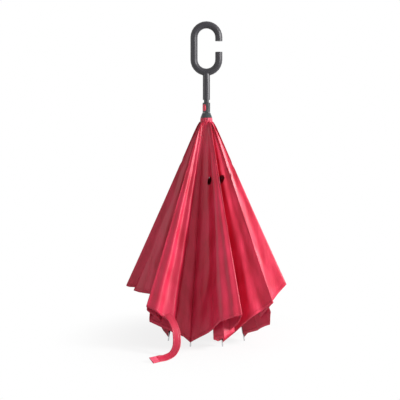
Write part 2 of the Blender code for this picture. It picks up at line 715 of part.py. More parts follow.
def half_gore(name, index, rib, vented, finish):
    """A flat half gore between a rib and the gore's fold, its origin on the rib's pivot and X along the rib."""
    top, corner = fold_ends(index)
    end, pivot = hem_end(rib), rib_pivot(rib)
    normal = (corner - top).cross(end - top).normalized()
    rib_line = (end - pivot).normalized()
    along = (rib_line - normal * rib_line.dot(normal)).normalized()
    across = normal.cross(along)
    if across.dot(corner - end) < 0:
        across = -across
    place = frame_matrix(pivot, along, across)
    into = place.inverted()
    top, corner, end = into @ top, into @ corner, into @ end
    lift = end.z
    edge, notch = RIB_RADIUS + FIT, STRETCHER_SPREAD + STRETCHER_WIRE + FIT
    gap = fold_gap(index)
    fold = Vector((corner.x - top.x, corner.y - top.y)).normalized()
    fold_end = Vector((corner.x, corner.y)) + Vector((fold.y, -fold.x)) * gap
    start = fold_end.x - (fold_end.y - edge - CROWN_WIDTH) * fold.x / fold.y
    start = max(start, top.x)
    hem_start = Vector((end.x, edge))
    joint = JOINT_REACH
    outline = [
        Vector((start, edge)), Vector((joint - NOTCH_LEAD, edge)), Vector((joint - NOTCH_LEAD, notch)),
        Vector((joint + NOTCH_RUN, notch)), Vector((joint + NOTCH_RUN, edge)), hem_start,
    ]
    hem = fold_end - hem_start
    inward = Vector((-abs(hem.y), -abs(hem.x))).normalized()
    for step in range(1, HEM_STEPS):
        share = step / HEM_STEPS
        outline.append(hem_start + hem * share + inward * HEM_HOLLOW * 4 * share * (1 - share))
    outline.append(fold_end)
    outline.append(Vector((start, fold_end.y - (fold_end.x - start) * fold.y / fold.x)))
    loops = [outline]
    if vented:
        middle = (edge + top.y + (VENT_REACH - top.x) * fold.y / fold.x) / 2
        loops.append([
            Vector((VENT_REACH + VENT_LONG * cos(pi * step / 8), middle + VENT_SHORT * sin(pi * step / 8)))
            for step in range(16)
        ])
    curve = bpy.data.curves.new(name, "CURVE")
    curve.dimensions = "2D"
    curve.fill_mode = "BOTH"
    curve.extrude = CLOTH / 2
    for loop in loops:
        line = curve.splines.new("POLY")
        line.points.add(len(loop) - 1)
        for point, spot in zip(line.points, loop):
            point.co = (*spot, 0, 1)
        line.use_cyclic_u = True
    curve.materials.append(finish)
    shape = bpy.data.objects.new(name, curve)
    collection.objects.link(shape)
    mesh = baked(shape)
    bpy.data.objects.remove(shape, do_unlink=True)
    mesh.transform(Matrix.Translation((0, 0, lift)))
    add(name, mesh, finish).matrix_world = place


def build_frame(steel, metal):
    """Ribs, tips and stretchers, each a copy turned about the shaft."""
    rib, tip, stretcher = rib_mesh(steel), tip_mesh(metal), stretcher_mesh(steel)
    for index in range(COUNT):
        azimuth = rib_azimuth(index)
        direction = rib_direction(azimuth, CLOSED_ANGLE)
        place = frame_matrix(rib_pivot(index), direction, sideways(azimuth))
        for name, mesh, finish in (("rib", rib, steel), ("rib_tip", tip, metal)):
            add(f"{name}_{index + 1}", mesh, finish).matrix_world = place
        lean = stretcher_angle()
        along = outward(azimuth) * sin(lean) + Vector((0, 0, cos(lean)))
        origin = outward(azimuth) * HUB_RING_RADIUS + Vector((0, 0, HUB_HEIGHT))
        add(f"stretcher_{index + 1}", stretcher, steel).matrix_world = frame_matrix(
            origin, along, sideways(azimuth)
        )


def build_gores(cloth):
    """Two flat halves for each gore. The first holds the vent hole."""
    for index in range(COUNT):
        half_gore(f"gore_{index + 1}a", index, index, True, cloth)
        half_gore(f"gore_{index + 1}b", index, (index + 1) % COUNT, False, cloth)


def strap_seam():
    """The direction out of the half gore that carries the strap, and the strap's points on it."""
    top, corner = fold_ends(COUNT - 1)
    end = hem_end(0)
    facing = (corner - end).cross(end - top).normalized()
    if facing.y > 0:
        facing = -facing
    lift = CLOTH / 2 + FIT + STRAP_THICKNESS / 2
    points = [
        end + (corner - end) * across + (top - end) * up + facing * lift * away
        for across, up, away in STRAP_SEAM_SHARES
    ]
    return facing, points


def strap_route():
    """The strap's points, from its seam down to the floor and forward on it."""
    floor = -TIP_DROP + STRAP_THICKNESS / 2 + FIT
    fall = [
        Vector((x * FOLD_RADIUS, y * FOLD_RADIUS, floor + z * FOLD_HEIGHT)) for x, y, z in STRAP_FALL_SHARES
    ]
    return strap_seam()[1] + fall


def route_point(route, share):
    """A point on the smooth curve through the route's points."""
    place = share * (len(route) - 1)
    index = min(int(place), len(route) - 2)
    part = place - index
    near = [route[max(0, min(len(route) - 1, index + step))] for step in (-1, 0, 1, 2)]
    before, first, second, after = near
    return 0.5 * (
        2 * first + (second - before) * part
        + (2 * before - 5 * first + 4 * second - after) * part ** 2
        + (3 * first - before - 3 * second + after) * part ** 3
    )


def ribbon(name, start, end, steps, width, thickness, lift, finish):
    """A band along a stretch of the strap's route. It turns from the gore's face to lie flat on the floor."""
    mesh = bpy.data.meshes.new(name)
    shape = bmesh.new()
    bmesh.ops.create_grid(shape, x_segments=steps, y_segments=1, size=1)
    step_share = 1 / STRAP_STEPS / 4
    route, seam_facing = strap_route(), strap_seam()[0]
    for vert in shape.verts:
        share = start + (end - start) * (vert.co.x + 1) / 2
        middle = route_point(route, share)
        ahead = route_point(route, min(1, share + step_share))
        behind = route_point(route, max(0, share - step_share))
        along = (ahead - behind).normalized()
        turn = min(1, max(0, (share - SEAM_SHARE) / (FLOOR_SHARE - SEAM_SHARE)))
        facing = seam_facing.lerp(Vector((0, 0, 1)), turn * turn * (3 - 2 * turn))
        across = along.cross(facing).normalized()
        vert.co = middle + across * vert.co.y * width / 2 + along.cross(across) * lift
    bmesh.ops.recalc_face_normals(shape, faces=shape.faces)
    shape.to_mesh(mesh)
    shape.free()
    obj = add(name, mesh, finish)
    thick = obj.modifiers.new("Solidify", "SOLIDIFY")
    thick.thickness = thickness
    thick.offset = 0
    return obj


def strap_length():
    route = strap_route()
    places = [route_point(route, step / STRAP_STEPS) for step in range(STRAP_STEPS + 1)]
    return sum((second - first).length for first, second in zip(places, places[1:]))


def build_strap(cloth, patch):
    length = strap_length()
    print("strap length, mm:", round(length / MM, 1))
    ribbon("closing_strap", 0, 1, STRAP_STEPS, STRAP_WIDTH, STRAP_THICKNESS, 0, cloth)
    lift = STRAP_THICKNESS / 2 + FIT + PATCH_THICKNESS / 2
    start = 1 - PATCH_LENGTH / length
    width = STRAP_WIDTH - 6 * FIT
    ribbon("strap_patch", start, 1 - 2 * FIT / length, 6, width, PATCH_THICKNESS, -lift, patch)


def main():
    global collection, cutters
    clear_scene()
    collection = bpy.data.collections.new("inverted_umbrella")
    cutters = bpy.data.collections.new("cutters")
    for made in (collection, cutters):
        bpy.context.scene.collection.children.link(made)
    grip_plastic = material("grip_plastic", (0.10, 0.10, 0.11), 0.45)
    dark_plastic = material("dark_plastic", (0.025, 0.035, 0.037), 0.3)
    red_plastic = material("red_plastic", (0.62, 0.03, 0.07), 0.35)
    cloth = material("red_cloth", (0.60, 0.02, 0.07), 0.5)
    steel = material("dark_steel", (0.05, 0.05, 0.055), 0.35, 0.9)
    metal = material("bright_metal", (0.6, 0.6, 0.62), 0.25, 1.0)
    patch = material("hook_patch", (0.35, 0.02, 0.05), 0.9)
    build_grip(grip_plastic)
    build_housing(dark_plastic)
    build_button(red_plastic)
    build_latch(metal)
    build_leaf(metal)
    build_shaft(steel)
    build_hub(dark_plastic)
    ring_wire("hub_ring_wire", HUB_RING_RADIUS, HUB_HEIGHT, metal)
    build_ferrule(dark_plastic)
    build_runner(dark_plastic)
    ring_wire("rib_ring_wire", RIB_RING_RADIUS, PIVOT_HEIGHT, metal)
    build_cap(dark_plastic)
    build_crown_cloth(cloth)
    pin = add("runner_pin", cylinder_mesh("runner_pin", PIN_RADIUS, 2 * SLEEVE_RADIUS), metal)
    pin.matrix_world = radial_place(FIRST_RIB, 0, PIN_HEIGHT)
    build_spring(metal)
    build_plug(dark_plastic)
    build_frame(steel, metal)
    build_gores(cloth)
    build_strap(cloth, patch)
    travel = PIVOT_HEIGHT - open_pivot_height()
    print("runner travel, mm:", round(travel / MM, 2))
    print("rib turn, degrees:", round(degrees(OPEN_ANGLE - CLOSED_ANGLE), 2))


main()
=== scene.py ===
# %% [markdown]
# # An inverted umbrella, closed and standing on its rib tips
#
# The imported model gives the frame: handle, shaft, runner, ribs, tips and stretchers, each in its place.
# This script gives those parts their finishes and hangs the cloth on them. Cloth is what a rigid model can't
# show, so most of the lesson is about one folded half gore, which is made sixteen times with small changes.

from math import atan2, cos, degrees, exp, hypot, pi, radians, sin

import bmesh
import bpy
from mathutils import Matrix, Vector
from mathutils.noise import noise


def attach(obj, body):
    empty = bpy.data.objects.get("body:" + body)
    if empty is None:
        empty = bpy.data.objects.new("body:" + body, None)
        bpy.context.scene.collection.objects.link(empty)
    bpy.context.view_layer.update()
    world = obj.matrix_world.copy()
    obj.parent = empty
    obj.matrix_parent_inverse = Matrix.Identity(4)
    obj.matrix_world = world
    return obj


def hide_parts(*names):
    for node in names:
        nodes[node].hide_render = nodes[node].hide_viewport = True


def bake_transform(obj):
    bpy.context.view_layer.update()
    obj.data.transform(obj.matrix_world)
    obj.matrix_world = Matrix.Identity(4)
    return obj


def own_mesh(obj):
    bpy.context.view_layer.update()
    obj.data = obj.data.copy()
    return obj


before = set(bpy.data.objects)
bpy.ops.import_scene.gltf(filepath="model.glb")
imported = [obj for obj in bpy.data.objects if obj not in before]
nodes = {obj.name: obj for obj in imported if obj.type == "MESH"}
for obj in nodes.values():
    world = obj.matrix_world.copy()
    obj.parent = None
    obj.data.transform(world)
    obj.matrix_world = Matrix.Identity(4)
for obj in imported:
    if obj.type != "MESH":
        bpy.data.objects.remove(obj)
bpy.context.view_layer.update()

# %% [markdown]
# ## Camera
#
# The umbrella is photographed from a little above the middle of its height and from about two metres away,
# with a short telephoto lens. A long lens keeps the upright shaft upright. The camera stands a little to the
# left of the shaft, because the object isn't quite in the middle of the picture.

# %% The camera
MM = 0.001
SENSOR = 36                 # mm
FOCAL_IN_FRAMES = 2.175     # focal length over the picture's width
CAMERA_PLACE = Vector((-16 * MM, -2.2, 460 * MM))
CAMERA_DROOP = radians(4.84)

camera_data = bpy.data.cameras.new("camera")
camera_data.sensor_width = SENSOR
camera_data.lens = SENSOR * FOCAL_IN_FRAMES
camera = bpy.data.objects.new("camera", camera_data)
camera.location = CAMERA_PLACE
camera.rotation_euler = (pi / 2 - CAMERA_DROOP, 0, 0)
bpy.context.scene.collection.objects.link(camera)
bpy.context.scene.camera = camera
print("camera with a lens of", round(camera_data.lens, 1), "mm")

# %% [markdown]
# ## Shader maths
#
# A material is a graph of nodes. Written out one node at a time it is hard to read, so a small class stands
# for a socket that carries a value. Sums, products and comparisons of such values add their Math nodes, and
# other methods add the nodes that this scene needs often. The graph is then written as a formula.

# %% A value in a material
class Value:
    """A node's output. Arithmetic on it adds Math nodes."""

    def __init__(self, tree, socket=None):
        self.tree, self.socket = tree, socket

    def node(self, kind, settings=None, sockets=None, output=0):
        """Adds a node with its settings, and with numbers or links in its sockets."""
        made = self.tree.nodes.new(kind)
        for name, setting in (settings or {}).items():
            setattr(made, name, setting)
        for key, value in (sockets or {}).items():
            if isinstance(value, Value):
                self.tree.links.new(value.socket, made.inputs[key])
            else:
                made.inputs[key].default_value = value
        return Value(self.tree, made.outputs[output])

    def output(self, key):
        """Another output of the same node."""
        return Value(self.tree, self.socket.node.outputs[key])

    def maths(self, operation, *values):
        return self.node("ShaderNodeMath", {"operation": operation}, dict(enumerate(values)))

    def __add__(self, other):
        return self.maths("ADD", self, other)

    def __radd__(self, other):
        return self.maths("ADD", other, self)

    def __sub__(self, other):
        return self.maths("SUBTRACT", self, other)

    def __rsub__(self, other):
        return self.maths("SUBTRACT", other, self)

    def __mul__(self, other):
        return self.maths("MULTIPLY", self, other)

    def __gt__(self, other):
        return self.maths("GREATER_THAN", self, other)

    def __lt__(self, other):
        return self.maths("LESS_THAN", self, other)

    def mixed(self, low, high):
        """A colour between two others, by this value. Sockets 6 and 7 are the node's two colours."""
        return self.node(
            "ShaderNodeMix", {"data_type": "RGBA"}, {0: self, 6: low, 7: high}, output=2)

    def smoothed(self, start, end, low=0.0, high=1.0):
        """This value's way from start to end, as a smooth step from low to high."""
        return self.node(
            "ShaderNodeMapRange", {"interpolation_type": "SMOOTHSTEP"},
            {0: self, 1: start, 2: end, 3: low, 4: high})

    def wave(self, pitch):
        """A sine along this length."""
        return self.maths("SINE", self * (2 * pi / pitch))

    def line(self, width):
        """One where this value is zero, and nothing from the width on."""
        return self.maths("ABSOLUTE", self).smoothed(0.0, width, 1.0, 0.0)

    def stretched(self, scale):
        """This place in other units, so that a pattern on it is drawn out."""
        return self.node("ShaderNodeMapping", None, {"Vector": self, "Scale": scale})

    def clouds(self, scale, detail=2.0, distortion=0.0):
        """Noise at this place."""
        return self.node("ShaderNodeTexNoise", None, {
            "Vector": self, "Scale": scale, "Detail": detail, "Distortion": distortion})

    def bump(self, strength, distance):
        """A normal that makes this height look raised."""
        return self.node("ShaderNodeBump", None, {
            "Strength": strength, "Distance": distance, "Height": self})


# %% A finish
def new_finish(name, **fixed):
    """A material with some of its shader's sockets set. Gives the material, its shader and a first value."""
    made = bpy.data.materials.new(name)
    made.use_nodes = True
    shader = made.node_tree.nodes["Principled BSDF"]
    for key, value in fixed.items():
        shader.inputs[key.replace("_", " ")].default_value = value
    return made, shader, Value(made.node_tree)


def feed(shader, **values):
    """Links changing values to the shader's sockets."""
    for key, value in values.items():
        value.tree.links.new(value.socket, shader.inputs[key.replace("_", " ")])


# %% [markdown]
# ## Moulded plastic
#
# The grip is a hard plastic with a fine matt grain, which scatters light, so that its highlight is broad and
# soft. The grain is two sizes of noise: one for bumps that are too small to see singly, and one that makes
# the colour and the gloss uneven, as on a grip that has been held. The cone, the housing and the hub are
# the same plastic out of a polished mould, so they get more gloss.

# %% Plastic finishes
RUBBED_SCALE, GRAIN_SCALE = 45.0, 1400.0    # noise cells per metre
GRAIN_STRENGTH = 0.12
UNEVEN_GLOSS = 0.08


def plastic(name, colour, worn, roughness, grain):
    """Moulded plastic: a colour, the colour of its rubbed spots, its gloss and the depth of its grain."""
    made, shader, start = new_finish(name)
    place = start.node("ShaderNodeTexCoord", output="Object")
    cloudy = place.clouds(RUBBED_SCALE, detail=3.0)
    feed(shader, Base_Color=cloudy.smoothed(0.3, 0.9).mixed(colour, worn),
         Roughness=roughness + (cloudy - 0.5) * UNEVEN_GLOSS,
         Normal=place.clouds(GRAIN_SCALE).bump(GRAIN_STRENGTH, grain))
    return made


grip_finish = plastic(
    "grip_plastic", (0.021, 0.019, 0.024, 1), (0.024, 0.022, 0.028, 1), 0.38, 0.008 * MM)
glossy_finish = plastic(
    "glossy_plastic", (0.022, 0.030, 0.032, 1), (0.03, 0.038, 0.04, 1), 0.16, 0.02 * MM)
housing_finish = plastic(
    "housing_plastic", (0.026, 0.028, 0.031, 1), (0.034, 0.036, 0.04, 1), 0.24, 0.06 * MM)
button_finish = plastic(
    "button_plastic", (0.60, 0.022, 0.055, 1), (0.64, 0.035, 0.07, 1), 0.3, 0.04 * MM)
print("plastics for the grip, the glossy parts, the housing and the button")

# %% [markdown]
# ## Metal
#
# Ribs and stretchers are thin painted steel, and tips, rings and springs are bright. Drawn wire has fine
# scratches that run along it. They are a noise that is squeezed across and stretched along the piece.

# %% Metal finishes
SCRATCH_SCALE, SPOT_SCALE = 900.0, 160.0    # noise cells per metre
SCRATCH_STRETCH = (1.0, 1.0, 0.08)
SCRATCH_STRENGTH, SCRATCH_DEPTH = 0.2, 0.03 * MM
SCRATCH_GLOSS = 0.2


def metal(name, colour, dull, roughness):
    """Drawn metal: a colour, the colour of its dull spots and its gloss."""
    made, shader, start = new_finish(name, Metallic=1.0)
    place = start.node("ShaderNodeTexCoord", output="Object")
    scratches = place.stretched(SCRATCH_STRETCH).clouds(SCRATCH_SCALE, detail=3.0)
    feed(shader, Base_Color=place.clouds(SPOT_SCALE).smoothed(0.4, 0.7).mixed(colour, dull),
         Roughness=roughness + (scratches - 0.5) * SCRATCH_GLOSS,
         Normal=scratches.bump(SCRATCH_STRENGTH, SCRATCH_DEPTH))
    return made


bright_finish = metal("bright_metal", (0.62, 0.62, 0.63, 1), (0.5, 0.5, 0.51, 1), 0.28)
dark_finish = metal("dark_steel", (0.06, 0.06, 0.065, 1), (0.04, 0.04, 0.042, 1), 0.36)
print("metals for the bright and the dark parts")

# %% Finishes on the frame
FINISHES = {                # by a node's name without its number; all others are bright metal
    "handle_grip": grip_finish, "button_housing": housing_finish, "push_button": button_finish,
    "crown_cap": glossy_finish, "runner_sleeve": glossy_finish, "stretcher_hub": glossy_finish,
    "ferrule": glossy_finish, "spring_plug": glossy_finish,
    "shaft_tube": dark_finish, "rib": dark_finish, "stretcher": dark_finish,
}
for name, node in nodes.items():
    stem = name.rstrip("0123456789").rstrip("_")
    node.data.materials.clear()
    node.data.materials.append(FINISHES.get(stem, bright_finish))
print("finishes on", len(nodes), "nodes")

# %% [markdown]
# ## The button's leaf spring
#
# Behind the button a bowed leaf of spring steel pushes it out. The model's solid has one shape only, so it
# would cut through the button when that is pressed. Here it only gets a mesh of its own.


def outward(azimuth):
    """The level direction away from the shaft at an angle around it."""
    return Vector((cos(azimuth), sin(azimuth), 0))


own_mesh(nodes["button_leaf_spring"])

# %% [markdown]
# ## Cloth
#
# The canopy is a close polyester weave with a satin side. Three scales make it look like cloth. The threads
# are half a millimetre apart and only break up the gloss. Pressed creases run down the gores, because
# the umbrella is stored folded. Last, a hem is turned over and stitched along the lower edge, and a seam
# runs along each rib. Light and shade are also painted into the colour: the creases are lighter on their
# ridges and darker in their troughs, and the hem's upper line and the rib seams are darker in their grooves.
# All of it follows the piece's own UV map, which is in metres on the flat cut, so the threads stay on the
# cloth when it moves. There U is the distance from the rib and V is the distance from the hem, with V below
# zero on the cloth.

# %% The cloth's values
HEM_BAND = 9 * MM           # turned-over edge
HEM_LINE = 1.2 * MM         # half width of its upper edge's line
STITCH_ROW = HEM_BAND * 0.75
STITCH_LINE = 0.8 * MM
STITCH_PITCH = 3.2 * MM
STITCH_START = -0.3         # of the wave, below zero so that the stitches are longer than their gaps
THREAD_PITCH = 0.5 * MM
RIB_SEAM = 3.5 * MM         # from the rib
RIB_SEAM_LINE = 1.1 * MM
CREASE_STRETCH = (22.0, 4.0, 1.0)   # creases per metre across and along the gore
SOFT_SCALE = 14.0           # slow changes of tone and gloss, per metre
CLOTH_BUMP = 0.8
THREAD_HEIGHT = 0.01 * MM
HEM_HEIGHT = 0.35 * MM
LINE_DEPTH, STITCH_HEIGHT, SEAM_DEPTH = 0.3 * MM, 0.3 * MM, 0.4 * MM


# %% The cloth's finish
def cloth(name, colour, shade, roughness, crease):
    """Satin cloth on the cut's UV map: its colour, its darker one for tone and painted shade, its gloss and
    crease height.
    """
    made, shader, start = new_finish(
        name, Specular_IOR_Level=0.5, Sheen_Weight=0.08, Sheen_Roughness=0.3, Sheen_Tint=(1, 0.66, 0.74, 1))
    cut = start.node("ShaderNodeUVMap", {"uv_map": "cut"})
    across = cut.node("ShaderNodeSeparateXYZ", None, {0: cut})
    above_hem = 0 - across.output(1)
    in_hem = above_hem < HEM_BAND
    hem_line = (above_hem - HEM_BAND).line(HEM_LINE)
    stitches = (above_hem - STITCH_ROW).line(STITCH_LINE) * (across.wave(STITCH_PITCH) > STITCH_START)
    rib_seam = (across - RIB_SEAM).line(RIB_SEAM_LINE)
    creases = cut.stretched(CREASE_STRETCH).clouds(1.0, detail=4.0, distortion=0.7)
    soft = cut.clouds(SOFT_SCALE)
    weave = across.wave(THREAD_PITCH) + across.output(1).wave(THREAD_PITCH)
    height = creases * crease + in_hem * HEM_HEIGHT + weave * THREAD_HEIGHT
    height = height - hem_line * LINE_DEPTH + stitches * STITCH_HEIGHT - rib_seam * SEAM_DEPTH
    # Random slow tone, plus painted light and shade on the creases: lighter on their ridges, darker in their
    # troughs.
    tone_and_painted_shade = soft.smoothed(0.3, 0.75) * 0.7 + creases.smoothed(0.35, 0.7) * 0.3
    # Painted shade in the grooves of the hem's upper line and of the rib seams.
    tone_and_painted_shade = tone_and_painted_shade * (1 - hem_line * 0.5) * (1 - rib_seam * 0.35)
    feed(shader, Base_Color=tone_and_painted_shade.mixed(shade, colour),
         Roughness=roughness + (soft - 0.5) * 0.18 + in_hem * 0.05, Normal=height.bump(CLOTH_BUMP, 1.0))
    return made


canopy_finish = cloth("canopy_cloth", (0.62, 0.021, 0.072, 1), (0.45, 0.006, 0.032, 1), 0.44, 1.8 * MM)
strap_finish = cloth("strap_cloth", (0.54, 0.020, 0.060, 1), (0.42, 0.011, 0.038, 1), 0.38, 0.3 * MM)
patch_finish = cloth("hook_cloth", (0.70, 0.10, 0.16, 1), (0.62, 0.06, 0.12, 1), 0.8, 0.4 * MM)
print("cloth for the canopy, the strap and its hook tape")

# %% [markdown]
# ## Where the ribs and folds lie
#
# Eight ribs hang from the runner. Between two ribs the cloth folds outwards along one line, from the runner
# to a corner of the hem. These few numbers fix every gore, so they are written here once, with the same
# values as in the model.

# %% Ribs and folds
COUNT = 8
PIVOT_HEIGHT = 476 * MM
RIB_RING_RADIUS = 12 * MM
TIP_CIRCLE = 104 * MM
TIP_DROP = 80 * MM
FIRST_RIB = radians(-112.5)
HEM_BACK = 16 * MM          # from a rib's tip back to the hem
CROWN_DROP = 9 * MM         # from the pivots down to where the solids' gores start
CROWN_RADIUS = 18 * MM
FOLD_RADIUS = 205 * MM
FOLD_HEIGHT = 120 * MM      # a usual fold's corner above the floor
FOLD_HEIGHT_SHARES = [0.82, 0.96, 1.15, 1.02, 0.98, 1.02, 1.12, 0.92]
FOLD_TURNS = [24, 52, 89, 136, 180, -135, -90, -45]     # degrees from the front
RIB_LENGTH = hypot(TIP_CIRCLE - RIB_RING_RADIUS, PIVOT_HEIGHT + TIP_DROP)
CLOSED_ANGLE = atan2(TIP_CIRCLE - RIB_RING_RADIUS, PIVOT_HEIGHT + TIP_DROP)
UP = Vector((0, 0, 1))
CROWN_POINT = UP * (PIVOT_HEIGHT - CROWN_DROP)


def rib_azimuth(index):
    return FIRST_RIB + index * 2 * pi / COUNT


def rib_direction(index):
    return outward(rib_azimuth(index)) * sin(CLOSED_ANGLE) - UP * cos(CLOSED_ANGLE)


def rib_pivot(index):
    return outward(rib_azimuth(index)) * RIB_RING_RADIUS + UP * PIVOT_HEIGHT


def hem_end(index):
    return rib_pivot(index) + rib_direction(index) * (RIB_LENGTH - HEM_BACK)


def fold_azimuth(index):
    return radians(FOLD_TURNS[index] - 90)


def fold_ends(index):
    """The upper end and the hem corner of a gore's fold."""
    away = outward(fold_azimuth(index))
    height = FOLD_HEIGHT * FOLD_HEIGHT_SHARES[index] - TIP_DROP
    return away * CROWN_RADIUS + CROWN_POINT, away * FOLD_RADIUS + UP * height


def fold_and_rib(key):
    """The numbers of a half gore's fold and rib. Half a has the rib before the fold, and half b the next."""
    fold = int(key[0]) - 1
    return fold, fold if key[1] == "a" else (fold + 1) % COUNT


print("ribs", round(RIB_LENGTH / MM, 1), "mm long,", round(degrees(CLOSED_ANGLE), 1), "degrees from upright")

# %% [markdown]
# ## From a grid to a piece
#
# Every piece of cloth here is a grid that is bent in a bmesh, given a smooth mesh and a finish, and then made
# as thick as it is with a Solidify modifier. That end is the same for all of them.

# %% Pieces of cloth
CLOTH_THICKNESS = 0.35 * MM


def flat_grid(columns, rows):
    """A grid one unit wide and high, with a UV layer for the flat cut."""
    shape = bmesh.new()
    bmesh.ops.create_grid(shape, x_segments=columns, y_segments=rows, size=0.5)
    return shape, shape.loops.layers.uv.new("cut")


def face_towards(shape, way):
    """Turns all faces over if they look away from a direction."""
    shape.normal_update()
    if sum((face.normal for face in shape.faces), Vector()).dot(way) < 0:
        bmesh.ops.reverse_faces(shape, faces=shape.faces[:])


def finished(name, shape, finish, thickness=0):
    """Makes a bmesh an object of the scene."""
    mesh = bpy.data.meshes.new(name)
    shape.to_mesh(mesh)
    shape.free()
    mesh.shade_smooth()
    mesh.materials.append(finish)
    obj = bpy.data.objects.new(name, mesh)
    bpy.context.scene.collection.objects.link(obj)
    if thickness:
        solid = obj.modifiers.new("Thickness", "SOLIDIFY")
        solid.thickness = thickness
        solid.offset = 0
    return obj


def report(obj, size):
    """Prints a piece's flat cut and how much cloth its mesh has."""
    area = sum(face.area for face in obj.data.polygons)
    print(obj.name, "cut", [round(x, 4) for x in size], "m, cloth", round(area, 4), "m2")


# %% [markdown]
# ## The vent holes
#
# An inverted umbrella lets the wind out through oval holes near the top. An oval can be cut in a grid by
# slicing the faces near it with one plane for each side of a many-sided outline, and then taking out what
# lies within. That leaves a clean edge, and the grid elsewhere stays as it was.

# %% A vent hole
VENT_REACH = 166 * MM       # from the rib pivot to the vent hole's centre
VENT_HALF_LENGTH, VENT_HALF_WIDTH = 10.5 * MM, 9 * MM
VENT_ASIDE = 0.02           # from the middle of the half gore towards its fold, as a share of the width
VENT_SIDES = 14
VENT_NEAR = 3 ** 2          # faces up to three times the hole's size away are sliced
VENT_WITHIN = 0.995         # faces nearer than this are taken out, in the same squared measure


def cut_vent(shape, middle, half_across, half_along):
    """Cuts an oval hole in the flat grid."""
    def away(face):
        """How far a face is from the hole's centre, squared, with one at the hole's edge."""
        aside = face.calc_center_median() - middle
        return (aside.x / half_across) ** 2 + (aside.y / half_along) ** 2

    for side in range(VENT_SIDES):
        turn = 2 * pi * side / VENT_SIDES
        spot = middle + Vector((half_across * cos(turn), half_along * sin(turn), 0))
        facing = Vector((cos(turn) / half_across, sin(turn) / half_along, 0)).normalized()
        faces = [face for face in shape.faces if away(face) < VENT_NEAR]
        edges = {edge for face in faces for edge in face.edges}
        verts = {vert for face in faces for vert in face.verts}
        bmesh.ops.bisect_plane(shape, geom=[*faces, *edges, *verts], plane_co=spot, plane_no=facing)
    within = [face for face in shape.faces if away(face) < VENT_WITHIN]
    bmesh.ops.delete(shape, geom=within, context="FACES")


# %% [markdown]
# ## The fold line
#
# Both halves of a gore end on their fold, so it is worked out once for both. It is straight but for a small
# pinch at the height of the vents, which the photograph shows at both edges of the canopy.

# %% The fold
FOLD_DENT = 1.2 * MM        # pinch in the fold at the height of the vent holes
DENT_SHARE, DENT_STEP = 0.235, 0.01     # its place down the fold, and how far it moves from fold to fold
DENT_SPREAD = 0.014


def eased(points, place):
    """The value at a place between points (place, value), with a level start and end of each stretch."""
    for (low, first), (high, second) in zip(points, points[1:]):
        if place <= high:
            part = (place - low) / (high - low)
            part = part * part * (3 - 2 * part)
            return first + (second - first) * part
    return points[-1][1]


def fold_place(fold, share):
    """A point on the fold line."""
    top, corner = fold_ends(fold)
    from_dent = (share - DENT_SHARE - DENT_STEP * (fold % 3)) / DENT_SPREAD
    return top.lerp(corner, share) - outward(fold_azimuth(fold)) * FOLD_DENT * exp(-from_dent ** 2)


# %% [markdown]
# ## One half gore
#
# A gore is one triangle of cloth between two ribs. Closed, it folds outwards in the middle, so it is made as
# two halves that meet at the fold. Cloth that is gathered at one point hangs in a cone: every line from the
# gathered point to the hem is nearly straight, and the hem alone decides the shape. So each half starts as a
# flat grid, and its hem is drawn as a wavy line of a few points between the rib and the fold. Each column of
# the grid then runs from the crown to its place on that line. Last come the drift and the crumples of slack
# cloth, which fade out at both edges, so that neighbours meet on the rib and on the fold. Near the crown the
# cloth runs a little past the fold, because the two halves part there when the umbrella opens.

# %% The cloth of one half gore
ACROSS_STEPS, DOWN_STEPS = 48, 96
COVER = 1.9 * MM            # cloth outside a rib's centre line
HEM_LOWER = 6 * MM          # cloth below the solids' hem, down the rib
HEM_HOLLOW = 3 * MM         # how far the hem rises in its middle
DROP_FADE, HOLLOW_FADE = 5, 6   # powers by which a change of the hem fades on the way up
FOLD_COVER, FOLD_COVER_FADE = 4.2 * MM, 2.5     # cloth past the fold line at the crown
ABOVE = 0.012               # cloth above the solids' edge, as a share of the half gore's length
GATHERED_WIDTH = 8 * MM     # the cut's width at the crown
DRIFT, DRIFT_WAVES = 0.045, (3.1, 2.3)  # slow waves: depth over the cloth's width, count across and down
CRUMPLE, CRUMPLE_WAVES = 0.016, (8, 9)  # small ones


def slack(u, v, seed):
    """How far loose cloth stands out, as a share of its width. Each seed gives its own waves."""
    belly = sin(pi * u)
    slow = Vector((u * DRIFT_WAVES[0] + seed * 7.7, v * DRIFT_WAVES[1], seed * 1.3))
    small = Vector((u * CRUMPLE_WAVES[0] + seed, v * CRUMPLE_WAVES[1], seed * 3.3))
    return noise(slow) * DRIFT * belly + noise(small) * CRUMPLE * belly ** 0.5


